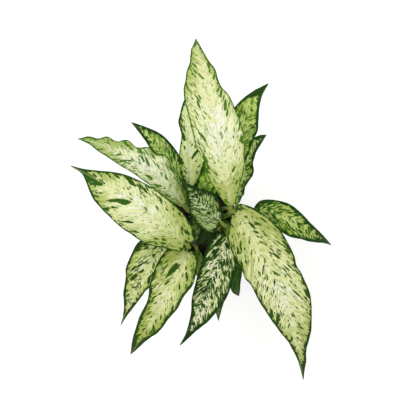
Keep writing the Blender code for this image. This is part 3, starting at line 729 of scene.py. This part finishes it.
class BladeSurface(Surface):
    """The material of one blade. Its patterns lie along the lateral veins, in millimetres."""

    def __init__(self, blade, number):
        super().__init__(blade.leaf.name + "_surface", roughness=0.5, Specular_IOR_Level=0.12)
        self.blade = blade
        self.look = blade.leaf.look
        self.white, self.cream, self.lime, self.green, self.deep = self.look.colors.split()
        self.seed = SEED_STEP * number
        for label in ("along", "across", "vein", "edge", "out", "under"):
            setattr(self, label, self.attribute(label))
        self.reach = abs(self.out)
        self.drift = self.blots(24, shift=2, detail=1) - 0.5
        self.ragged = self.streaks(2.2, 6, shift=5, detail=3, roughness=0.65)
        self.fibres = self.streaks(0.9, 7, shift=6, detail=3, roughness=0.6)
        share = self.along * (MM / blade.length)
        # 1 near the petiole, where base paints shade
        self.painted_base_shade = self.fall(share, 0.05, 0.45)
        self.near_tip = self.step(share, 0.4, 0.9)
        self.near_rib = self.fall(self.reach, 0.1, 0.6)

    def veined(self, width, length, start, depth=0.0):
        """Coordinates across and along the veins, in the given width and length, from a start."""
        return self.vector(self.vein * (VEIN_SLANT / width) + start,
                           self.across / (VEIN_SLANT * length) + start, depth)

    def streaks(self, width, length, shift, **settings):
        """Noise about 0, drawn out along the veins."""
        return self.noise(self.veined(width, length, 0, self.seed + shift), **settings) - 0.5

    def blots(self, size, shift, **settings):
        """Noise as wide as it is long."""
        return self.noise(self.vector(self.along / size, self.across / size, self.seed + shift), **settings)

    def islands(self, width, length, share, shift, largest=0.46):
        """Ragged spots of uneven size along the veins, in a share of the cells of that width and length.

        Like streaks and blots, it gives another pattern with each shift.
        """
        place = self.veined(width, length, self.seed + 3 * shift)
        wander = self.noise(place, scale=2.1, detail=3, roughness=0.65, output="Color")
        wander = self.vectors("SUBTRACT", wander, (0.5, 0.5, 0.5))
        place = self.vectors("ADD", place, self.stretched(wander, (1.5, 1.5, 0)))
        distance = self.node("ShaderNodeTexVoronoi", {"Vector": place, "Scale": 1}, "Distance",
                             voronoi_dimensions="2D")
        draw = self.node("ShaderNodeSeparateColor", {0: distance.beside("Color")})
        size = largest * draw ** 1.6 + 0.12
        shown = self.math("GREATER_THAN", share, draw.beside(1))
        return self.step(size - distance, -0.04, 0.05) * shown

    def patch(self, share, out, half_width, half_length):
        """One ragged patch along the veins."""
        start, middle = self.blade.spot(share, out)
        gap = self.vector((self.vein - start) * (VEIN_SLANT / half_width),
                          (self.across - middle) / (VEIN_SLANT * half_length))
        distance = self.node("ShaderNodeVectorMath", {0: gap}, "Value", operation="LENGTH")
        return self.fall(distance + 1.9 * self.ragged, 0.92, 1.08)

    def ground(self):
        """White and cream feathers beside the midrib, lime at the margins, and olive ghosts of flecks."""
        look = self.look
        feather = self.streaks(3.2, 20, shift=1, detail=4, roughness=0.62, distortion=0.3)
        inward = 0.85 + look.feather - self.reach + 2.2 * feather + 1.1 * self.drift + 1.5 * self.fibres
        # Lime towards the petiole by base: painted shade for the shaded middle of the plant
        inward -= 2.2 * look.base * self.painted_base_shade + 2 * look.ends * self.near_tip
        color = self.blend(self.step(inward, -0.35, 0.5), self.lime, self.cream)
        bright = inward + 3 * self.streaks(6, 26, shift=7, detail=3)
        color = self.cover(color, 0.85, bright, 0.75, 1.4, self.white)
        color = self.blend(0.6 * self.islands(3, 8, share=0.45, shift=8, largest=0.5), color, self.lime)
        crowding = 0.4 * self.drift - 0.15 * self.near_rib + (0.17 + 0.7 * look.specks)
        peppered = self.islands(2.4, 5, crowding, shift=9)
        color = self.blend(0.7 * peppered, color, self.blend(0.4, self.lime, self.green))
        near = self.fall(self.edge + 8 * self.ragged, 0.5, 5)
        return self.blend(0.5 * near, color, self.blend(0.25, self.lime, self.green))

    def darkness(self):
        """How dark the flecks are, and how dark the margin and the tip are."""
        look = self.look
        crowding = 0.6 * self.drift + 0.3 * self.fall(self.edge, 0, 14) - 0.12 * self.near_rib
        dark = self.islands(3.6, 9, crowding + look.flecks, shift=3)
        specks = self.islands(2.6, 5.5, crowding + look.specks, shift=4)
        dark = self.math("MAXIMUM", dark, specks * self.step(self.blots(14, shift=11), 0.3, 0.5))
        uneven = 5 * (self.blots(6, shift=6, detail=2) - 0.35) + self.near_tip
        rim = self.fall(self.edge - look.margin * uneven, look.margin * 0.3, look.margin)
        from_tip = self.blade.length / MM - self.along - 0.8 * look.tip * self.reach ** 2
        end = self.fall(from_tip + 14 * self.ragged, look.tip * 0.85, look.tip * 1.1)
        return dark, self.math("MAXIMUM", rim, end)

    def bars(self):
        """How light a mottled blade is: pale bars thin at the margins, and at the base as painted shade."""
        look = self.look
        width, length = look.bars
        light = self.streaks(width, length, shift=10, detail=3, roughness=0.6, distortion=0.35)
        light += 0.3 * self.streaks(width * 0.5, length * 0.5, shift=12, detail=2)
        light += 0.25 * self.drift + look.lean * self.out - 0.1 * self.fall(self.edge, 0, 7)
        # Fewer pale bars towards the petiole by base: painted shade
        return light - 0.25 * look.base * self.painted_base_shade

    def paint(self):
        """The finished material."""
        look = self.look
        color = self.ground()
        tone = self.step(self.blots(5, shift=7, detail=2), 0.35, 0.6)
        spots, border = self.darkness()
        if look.bars:
            light = self.bars()
            level = 0.32 * (look.shade - 0.5) - 0.01
            color = self.blend(self.fall(light, level - 0.025, level + 0.025), color, self.green)
            color = self.blend(self.fall(light, level - 0.13, level - 0.06), color, self.deep)
            spots = 0.8 * spots
        color = self.blend(spots, color, self.blend(tone, self.green, self.deep))
        blotches = 0
        for patch in look.patches:
            blotches = self.math("MAXIMUM", blotches, self.patch(*patch))
        color = self.blend(blotches, color, self.blend(0.65, self.green, self.deep))
        color = self.blend(border, color, self.deep)
        narrowing = 1.9 - self.along * (1.5 * MM / self.blade.length)
        rib = self.fall(abs(self.across), 0.4 * narrowing, narrowing)
        pale = self.blend(0.5, self.cream, self.lime)
        color = self.blend((0.15 if look.bars else 0.45) * rib, color, pale)
        color = self.blend(0.5 * self.under, color, "9fb07c")
        roughness = 0.42 + 0.16 * self.blots(5, shift=8, detail=3)
        grain = self.streaks(0.7, 9, shift=9, detail=2) + 0.6 * self.blots(0.9, shift=10)
        return self.finished(color, grain, distance=0.25 * MM, strength=0.5, Roughness=roughness)


def make_blades():
    """Every blade with its own pattern."""
    for number, leaf in enumerate(LEAVES):
        blade = Blade(leaf)
        piece = blade.build(BladeSurface(blade, number).paint())
        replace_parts(piece, leaf.name)


def cane_axis(cane, height):
    """Points of a cane's axis at an array of heights: upright in the mix, then leaning to its top."""
    height = np.asarray(height, float)[..., None]
    foot = np.array((*cane.foot, 0)) * MM
    top = np.array(cane.top) * MM
    share = np.maximum(0, (height - SOIL_TOP) / (top[2] - SOIL_TOP)) ** CANE_LEAN_POWER
    level = foot + (top - foot) * share
    return np.concatenate((level[..., :2], height), axis=-1)


def node_height(node):
    """Height at which the leaf of that number, counted from the lowest, grows on its cane."""
    return SOIL_TOP + LOWEST_NODE + node * LEAF_NODE_SPACING


def make_cane(cane, material):
    """The bare cane, ringed by a scar at each leaf node and at the nodes of lost leaves below."""
    top = cane.top[2] * MM
    heights = np.arange(SOIL_TOP - CANE_DEPTH, top, CANE_RING_STEP)
    turns = full_turn(CANE_SIDES)
    centres = cane_axis(cane, heights)
    above = np.clip((heights - node_height(0)) / (top - SOIL_TOP), 0, 1)
    radii = np.repeat(cane.radius * MM * (1 - (1 - CANE_TOP_SHARE) * above)[:, None], CANE_SIDES, axis=1)
    scars = np.zeros_like(radii)
    for ring in np.arange(node_height(-2), top - LEAF_NODE_SPACING / 2, LEAF_NODE_SPACING):
        tilt = CANE_SCAR_TILT * np.sin(turns + ring / LEAF_NODE_SPACING * LEAF_TURN)
        gap = (heights[:, None] - ring - tilt) / CANE_SCAR_WIDTH
        scars = np.maximum(scars, np.exp(-gap ** 2))
    radii += CANE_SCAR_HEIGHT * scars
    closing = np.clip((top - heights) / CANE_CLOSING, 0, 1)[:, None] ** 0.5
    radii *= CANE_TIP_SHARE + (1 - CANE_TIP_SHARE) * closing
    rise = (heights - SOIL_TOP)[:, None] / MM
    piece = add_tube(cane.name + "_cane", centres, ACROSS, AHEAD, radii, turns, material,
                     scar=scars, rise=rise, around=turns)
    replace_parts(piece, cane.name)


def make_spear(cane, material):
    """The rolled youngest leaf on the top of the cane, its edge winding round it."""
    root, top, soil = cane_axis(cane, [cane.top[2] * MM - SPEAR_ROOT, cane.top[2] * MM, SOIL_TOP])
    lean = unit(top - soil)
    share = np.linspace(0, 1, SPEAR_RINGS)
    centres = root + lean * (SPEAR_LENGTH * share)[:, None]
    sides = unit(np.cross(lean, ACROSS))
    turns = full_turn(PETIOLE_SIDES)
    rolled = ((turns[None] - SPEAR_TURN * 2 * math.pi * share[:, None]) / (2 * math.pi)) % 1
    radii = (SPEAR_RADIUS * (1 - share ** 3) + SPEAR_POINT)[:, None] * (1 - SPEAR_OVERLAP * rolled)
    share = share[:, None]
    add_tube(cane.name + "_spear", centres, sides, np.cross(lean, sides), radii, turns, material,
             run=SPEAR_RUN + (1 - SPEAR_RUN) * share, around=turns, length=SPEAR_LENGTH * share / MM)


def petiole_path(leaf, cane):
    """Points, radii and shares along a petiole, from the cane's axis into the midrib under the blade."""
    start = cane_axis(cane, node_height(leaf.node))
    along, _, up = (axis[0] for axis in blade_axes(leaf, [0.0]))
    end = np.array(leaf.base) * MM - up * PETIOLE_DROP
    bend = end - along * PETIOLE_END
    reach = np.linalg.norm(bend - start)
    handles = [start, start + UP * RISE_SHARE * reach, bend - along * BEND_SHARE * reach, bend]
    share = np.linspace(0, 1, PETIOLE_RINGS + 1)
    weights = [(1 - share) ** 3, 3 * (1 - share) ** 2 * share, 3 * (1 - share) * share ** 2, share ** 3]
    points = sum(handle * weight[:, None] for handle, weight in zip(handles, weights))
    slender = PETIOLE_TOP_RADIUS * (1 + PETIOLE_TAPER * (1 - share))
    radii = slender + (SHEATH_RADIUS - slender) * np.maximum(0, 1 - share / SHEATH_SHARE)
    length = np.linalg.norm(np.array(leaf.tip) - np.array(leaf.base)) * MM
    under = np.linspace(0, 1, PETIOLE_RUN_RINGS)
    shares = under * PETIOLE_RUN / length
    _, _, ups = blade_axes(leaf, shares)
    run = midrib(leaf, shares) - ups * PETIOLE_DROP * (1 + PETIOLE_RUN_SINK * under)[:, None]
    run_radii = PETIOLE_TOP_RADIUS * (1 - PETIOLE_RUN_TAPER * under)
    share = np.concatenate((share, np.ones(PETIOLE_RUN_RINGS)))
    return np.concatenate((points, run)), np.concatenate((radii, run_radii)), share


def make_petiole(leaf, cane, material):
    """A petiole: a winged sheath on the cane, then a round stalk with a groove on its upper side."""
    centres, radii, share = petiole_path(leaf, cane)
    along = unit(np.gradient(centres, axis=0))
    tops = unit(np.cross(np.cross(centres[-1] - centres[0], UP), along))
    sides = np.cross(along, tops)
    turns = np.linspace(-math.pi, math.pi, PETIOLE_SIDES, endpoint=False)
    sheath = np.clip(1 - share / SHEATH_SHARE, 0, 1)[:, None] ** SHEATH_FADE
    groove = np.exp(-(turns[None] / (GROOVE_TURN + SHEATH_GROOVE_TURN * sheath)) ** 2)
    groove *= GROOVE_DEPTH + SHEATH_GROOVE_DEPTH * sheath
    wings = WING_HEIGHT * sheath * np.exp(-((np.abs(turns[None]) - WING_TURN) / WING_WIDTH) ** 2)
    rings = radii[:, None] * (1 - groove + wings)
    add_tube(leaf.name.replace("leaf", "petiole"), centres, sides, tops, rings, turns, material,
             run=share[:, None], length=lengths_along(centres)[:, None] / MM, around=turns)


def paint_petiole():
    """Green stalk, dark below as painted shade for the shaded middle of the plant and pale near the blade.

    It is streaked and flecked along its length, and browner at the foot of the sheath.
    """
    surface = Surface("petiole_surface", roughness=0.6, Specular_IOR_Level=0.05)
    run, length, turn = (surface.attribute(label) for label in ("run", "length", "around"))
    place = surface.tube_place(turn, 0.06 * length)
    streaks = surface.noise(surface.stretched(place, (2.5, 2.5, 1)), detail=3, roughness=0.6)
    flecks = surface.noise(surface.stretched(place, (4, 4, 4)), detail=2, distortion=0.6)
    top = surface.step(run, 0.72, 0.95)
    # Dark green below the top: painted shade for the shaded middle of the plant
    color = surface.blend(surface.step(run, 0, 0.35), "4a5f1e", "465b17")
    color = surface.blend(top, color, "82973a")
    color = surface.cover(color, 0.6, streaks, 0.4, 0.65, surface.blend(top, "54681e", "a3b152"))
    color = surface.cover(color, 0.55, flecks, 0.56, 0.62, "34481c")
    color = surface.blend(0.6 * surface.fall(run, 0, 0.14), color, "4c4426")
    return surface.finished(color, streaks, distance=0.3 * MM, strength=0.5)


def paint_cane():
    """Green cane with tan scars, woody near the potting mix."""
    surface = Surface("cane_surface", roughness=0.55)
    scar, rise, turn = (surface.attribute(label) for label in ("scar", "rise", "around"))
    place = surface.tube_place(turn, 0.12 * rise)
    mottle = surface.noise(surface.stretched(place, (3, 3, 5)), detail=4, roughness=0.6)
    fine = surface.noise(surface.stretched(place, (9, 9, 3)), detail=3, roughness=0.7)
    color = surface.blend(surface.step(mottle, 0.35, 0.65), "485c22", "6f8038")
    color = surface.blend(0.8 * surface.fall(rise + 16 * mottle, 8, 26), color, "6b5a38")
    color = surface.cover(color, 0.75, scar, 0.25, 0.8, "8d7d50")
    color = surface.cover(color, 0.5, fine, 0.55, 0.75, "4b4a26")
    return surface.finished(color, fine + mottle, distance=0.5 * MM, strength=0.6)


def make_stems():
    """The canes, their rolled youngest leaves and the petioles."""
    bark = paint_cane()
    stalk = paint_petiole()
    for cane in CANES:
        make_cane(cane, bark)
        make_spear(cane, stalk)
        for leaf in LEAVES:
            if leaf.cane == cane.name:
                make_petiole(leaf, cane, stalk)


def inner_radius(height):
    """Radius of the pot's inside wall at a height."""
    share = (height - POT_FLOOR) / (POT_HEIGHT - POT_FLOOR)
    floor_radius = POT_FOOT_RADIUS - POT_WALL
    return floor_radius + share * (POT_RIM_RADIUS - POT_WALL - floor_radius)


def rounded_corner(before, corner, after):
    """Profile points that round a corner between its neighbours, as a quadratic curve."""
    before, corner, after = (Vector(point) for point in (before, corner, after))
    start = corner + (before - corner).normalized() * POT_EDGE_ROUND
    end = corner + (after - corner).normalized() * POT_EDGE_ROUND
    points = []
    for step in range(ROUND_STEPS + 1):
        share = step / ROUND_STEPS
        points.append(start.lerp(corner, share).lerp(corner.lerp(end, share), share))
    return points


def pot_profile():
    """Radius and height down the outside of the pot, up from its foot, over its rim and inside again."""
    rim_bottom = POT_HEIGHT - RIM_HEIGHT
    rim_low = POT_RIM_RADIUS - RIM_TAPER
    corners = [
        (0, 0),
        (POT_FOOT_RADIUS, 0),
        (rim_low - RIM_STEP, rim_bottom - RIM_STEP),
        (rim_low, rim_bottom),
        (POT_RIM_RADIUS, POT_HEIGHT),
        (inner_radius(POT_HEIGHT), POT_HEIGHT),
        (inner_radius(POT_FLOOR), POT_FLOOR),
        (0, POT_FLOOR),
    ]
    points = []
    for before, corner, after in zip(corners, corners[1:], corners[2:]):
        points += rounded_corner(before, corner, after)
    fine = [points[0]]
    for point in points[1:]:
        steps = max(1, round((point - fine[-1]).length / WALL_STEP))
        start = fine[-1].copy()
        fine += [start.lerp(point, step / steps) for step in range(1, steps + 1)]
    return fine


def make_pot():
    """A clay pot with faint throwing lines and three drain holes."""
    profile = pot_profile()
    turns = full_turn(POT_SIDES)
    rings = []
    for radius, height in profile:
        phase = turns + 2 * math.pi * height / THROWING_PITCH
        thrown = POT_EDGE_ROUND < height < POT_HEIGHT - POT_EDGE_ROUND
        ring = radius - THROWING_RELIEF * (1 + np.sin(phase)) * thrown
        rings.append(np.stack((ring * np.cos(turns), ring * np.sin(turns), np.full_like(turns, height)), 1))
    clay = paint_clay()
    pot = add_piece("pot_clay", np.concatenate(rings), tube_faces(len(rings), POT_SIDES), clay)
    cut_drain_holes(pot)
    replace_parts(pot, "pot")


def cut_drain_holes(pot):
    """Round holes through the floor of the pot."""
    editable = bmesh.new()
    size = {"radius1": DRAIN_HOLE_RADIUS, "radius2": DRAIN_HOLE_RADIUS, "depth": 4 * POT_FLOOR}
    for hole in range(DRAIN_HOLES):
        turn = 2 * math.pi * hole / DRAIN_HOLES
        cutter = bmesh.ops.create_cone(editable, cap_ends=True, segments=DRAIN_HOLE_SIDES, **size)
        shift = Vector((math.cos(turn), math.sin(turn), 0)) * DRAIN_CIRCLE_RADIUS
        bmesh.ops.translate(editable, verts=cutter["verts"], vec=shift)
    mesh = bpy.data.meshes.new("drain_cutter")
    editable.to_mesh(mesh)
    editable.free()
    cutter = add_object("drain_cutter", mesh)
    modifier = pot.modifiers.new("Drain holes", "BOOLEAN")
    modifier.operation = "DIFFERENCE"
    modifier.solver = "EXACT"
    modifier.object = cutter
    evaluated = pot.evaluated_get(bpy.context.evaluated_depsgraph_get())
    result = bpy.data.meshes.new_from_object(evaluated)
    pot.modifiers.clear()
    pot.data = result
    pot.data.materials.clear()
    pot.data.materials.append(bpy.data.materials["clay_surface"])
    bpy.data.objects.remove(cutter, do_unlink=True)


def paint_clay():
    """Dark matt stoneware: mottled, ringed by the throwing, with fine pits.

    Its dark brown is partly painted shade, so that the rim reads as shade where it shows among the leaves.
    """
    surface = Surface("clay_surface", roughness=0.85)
    place = surface.place()
    broad = surface.noise(place, scale=28, detail=3, roughness=0.6)
    fine = surface.noise(place, scale=420, detail=3, roughness=0.7)
    rings = surface.noise(surface.stretched(place, (12, 12, 520)), detail=2)
    height = surface.node("ShaderNodeSeparateXYZ", {0: place}, "Z")
    # Dark browns, partly painted shade for the rim where it shows among the leaves
    color = surface.blend(surface.step(broad, 0.3, 0.7), "4a3c31", "5d4c3e")
    color = surface.cover(color, 0.35, rings, 0.45, 0.75, "6b594a")
    color = surface.cover(color, 0.4, fine, 0.55, 0.8, "352a22")
    low = surface.fall(height + 0.03 * broad, 0.018, 0.045)
    cloud = surface.noise(place, scale=75, detail=4, roughness=0.65)
    color = surface.cover(color, 0.35, cloud + 0.12 * low, 0.54, 0.7, "74675b")
    return surface.finished(color, fine + 0.6 * rings, distance=0.4 * MM, strength=0.5,
                            Roughness=0.78 + 0.15 * fine)


def soil_height(x, y):
    """Height of the potting mix: a low mound of crumbs and grit."""
    share = math.hypot(x, y) / inner_radius(SOIL_TOP)
    crumbs = noise.noise(Vector((x, y, 0)) / CRUMB_SIZE)
    grit = noise.noise(Vector((x, y, 0.1)) / GRIT_SIZE)
    relief = (CRUMB_RELIEF * crumbs + GRIT_RELIEF * grit) * min(1, RELIEF_RISE * (1 - share) + WALL_RELIEF)
    return SOIL_TOP + SOIL_MOUND * (1 - share * share) + relief


def make_soil():
    """The potting mix, with bark and perlite half sunk in it."""
    turns = full_turn(SOIL_SIDES)
    low = POT_FLOOR + SOIL_CLEARANCE
    outer = inner_radius(SOIL_TOP) - SOIL_CLEARANCE
    rings = [(inner_radius(low) - SOIL_CLEARANCE, low)]
    rings += [(outer * ring / SOIL_RINGS, None) for ring in range(SOIL_RINGS, 0, -1)]
    points = []
    for radius, height in rings:
        for turn in turns:
            x = radius * math.cos(turn)
            y = radius * math.sin(turn)
            points.append((x, y, soil_height(x, y) if height is None else height))
    faces = tube_faces(len(rings), SOIL_SIDES)
    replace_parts(add_piece("soil_mix", points, faces, paint_mix(), sharp=70), "soil")
    scatter("soil_bark", BARK_PIECES, BARK_LENGTHS, flatness=(0.35, 0.65), height_share=0.25,
            material=paint_bark(), seed=11)
    scatter("soil_perlite", PERLITE_PIECES, PERLITE_LENGTHS, flatness=(0.7, 1), height_share=0.35,
            material=paint_perlite(), seed=23)


def scatter(name, count, lengths, flatness, height_share, material, seed):
    """Rough lumps strewn on the potting mix, away from the canes, each with a tone of its own.

    flatness is the range of their widths, as shares of their lengths, and height_share is how high their
    middles lie over the mix, as a share of their heights.
    """
    draw = random.Random(seed)
    editable = bmesh.new()
    bmesh.ops.create_icosphere(editable, subdivisions=2, radius=0.5)
    ball = [vertex.co.copy() for vertex in editable.verts]
    triangles = np.array([[vertex.index for vertex in face.verts] for face in editable.faces])
    editable.free()
    points, faces, tones = [], [], []
    while len(tones) < count * len(ball):
        distance = math.sqrt(draw.random()) * (inner_radius(SOIL_TOP) - LUMP_CLEARANCE)
        turn = draw.uniform(0, 2 * math.pi)
        x = distance * math.cos(turn)
        y = distance * math.sin(turn)
        length = draw.uniform(*lengths)
        sizes = (length, length * draw.uniform(*flatness), length * draw.uniform(*flatness) * LUMP_HEIGHT)
        leans = [draw.uniform(-LUMP_LEAN, LUMP_LEAN) for _ in range(2)]
        lean = Euler((*leans, draw.uniform(0, 2 * math.pi)))
        tone = draw.random()
        if any(math.hypot(x - cane.foot[0] * MM, y - cane.foot[1] * MM) < cane.radius * MM + length / 2
               for cane in CANES):
            continue
        centre = Vector((x, y, soil_height(x, y) + height_share * sizes[2]))
        start = len(points)
        for corner in ball:
            rough = corner * (1 + LUMP_ROUGHNESS * noise.noise(corner * LUMP_GRAIN + centre / MM))
            shaped = Vector(part * size for part, size in zip(rough, sizes))
            shaped.rotate(lean)
            points.append(centre + shaped)
        faces += (triangles + start).tolist()
        tones += [tone] * len(ball)
    points = [tuple(point) for point in points]
    add_piece(name, points, faces, material, {"tone": tones}, sharp=35)


def paint_mix():
    """Dark potting mix, damp in places, darkened further as painted shade for the plant's shaded middle."""
    surface = Surface("mix_surface", roughness=0.95, Specular_IOR_Level=0.1)
    place = surface.place()
    crumbs = surface.noise(place, scale=260, detail=4, roughness=0.7)
    fibres = surface.noise(surface.stretched(place, (900, 260, 500)), detail=2, distortion=1.2)
    # Nearly black: the mix's own dark colour, darkened further as painted shade
    color = surface.blend(surface.step(crumbs, 0.35, 0.65), "0d0c07", "1d1910")
    color = surface.cover(color, 0.7, fibres, 0.6, 0.68, "332b1c")
    return surface.finished(color, crumbs + fibres, distance=1.2 * MM, strength=0.8)


def paint_bark():
    """Bark chips, dark brown to nearly black, darkened as painted shade for the plant's shaded middle."""
    surface = Surface("bark_surface", roughness=0.9, Specular_IOR_Level=0.1)
    tone = surface.attribute("tone")
    grain = surface.noise(surface.stretched(surface.place(), (300, 300, 1200)), detail=4, roughness=0.7)
    # Darkened browns: painted shade for the shaded middle of the plant
    color = surface.blend(tone, "13110a", "2e2818")
    color = surface.cover(color, 0.6, grain, 0.45, 0.7, "1e1810")
    return surface.finished(color, grain, distance=0.6 * MM, strength=0.7)


def paint_perlite():
    """Perlite grains, greyed as painted shade of the plant's middle: paler where clean, stained where not.
    """
    surface = Surface("perlite_surface", roughness=0.85)
    tone = surface.attribute("tone")
    pores = surface.noise(surface.place(), scale=1500, detail=3, roughness=0.6)
    # Grey in place of white: painted shade for the shaded middle of the plant
    color = surface.blend(tone, "565044", "8c8676")
    color = surface.cover(color, 0.5, pores, 0.5, 0.7, "6a614f")
    return surface.finished(color, pores, distance=0.3 * MM, strength=0.7)


def make_camera():
    """A long lens straight above, the top of the picture towards +Y."""
    data = bpy.data.cameras.new("camera")
    data.lens = LENS
    data.sensor_width = SENSOR
    camera = add_object("camera", data)
    camera.location = CAMERA_PLACE
    bpy.context.scene.camera = camera


def make_light(name, place, size, power):
    """A square soft box that faces the plant."""
    data = bpy.data.lights.new(name, "AREA")
    data.size = size
    data.energy = power
    light = add_object(name, data)
    light.location = place
    aim = Vector(LIGHT_AIM) - Vector(place)
    light.rotation_euler = aim.to_track_quat("-Z", "Y").to_euler()


def make_stage():
    """A plain pale floor under an even white sky, with two soft boxes."""
    mesh = bpy.data.meshes.new("floor")
    corners = [(x * FLOOR_REACH, y * FLOOR_REACH, 0) for x, y in ((-1, -1), (1, -1), (1, 1), (-1, 1))]
    mesh.from_pydata(corners, [], [(0, 1, 2, 3)])
    paper = Surface("floor_surface", roughness=0.9, Base_Color=FLOOR_COLOR, Emission_Color=WHITE,
                    Emission_Strength=FLOOR_GLOW)
    mesh.materials.append(paper.material)
    floor = add_object("floor", mesh)
    world = bpy.data.worlds.new("sky")
    world.use_nodes = True
    background = world.node_tree.nodes["Background"]
    background.inputs["Color"].default_value = WHITE
    background.inputs["Strength"].default_value = SKY_STRENGTH
    bpy.context.scene.world = world
    make_light("key_light", place=(-0.9, 0.7, 1.9), size=1.0, power=12)
    make_light("fill_light", place=(1.3, -0.9, 1.5), size=1.2, power=5)
    bpy.context.scene.view_settings.view_transform = "Standard"


make_camera()
make_stage()
make_pot()
make_soil()
make_stems()
make_blades()
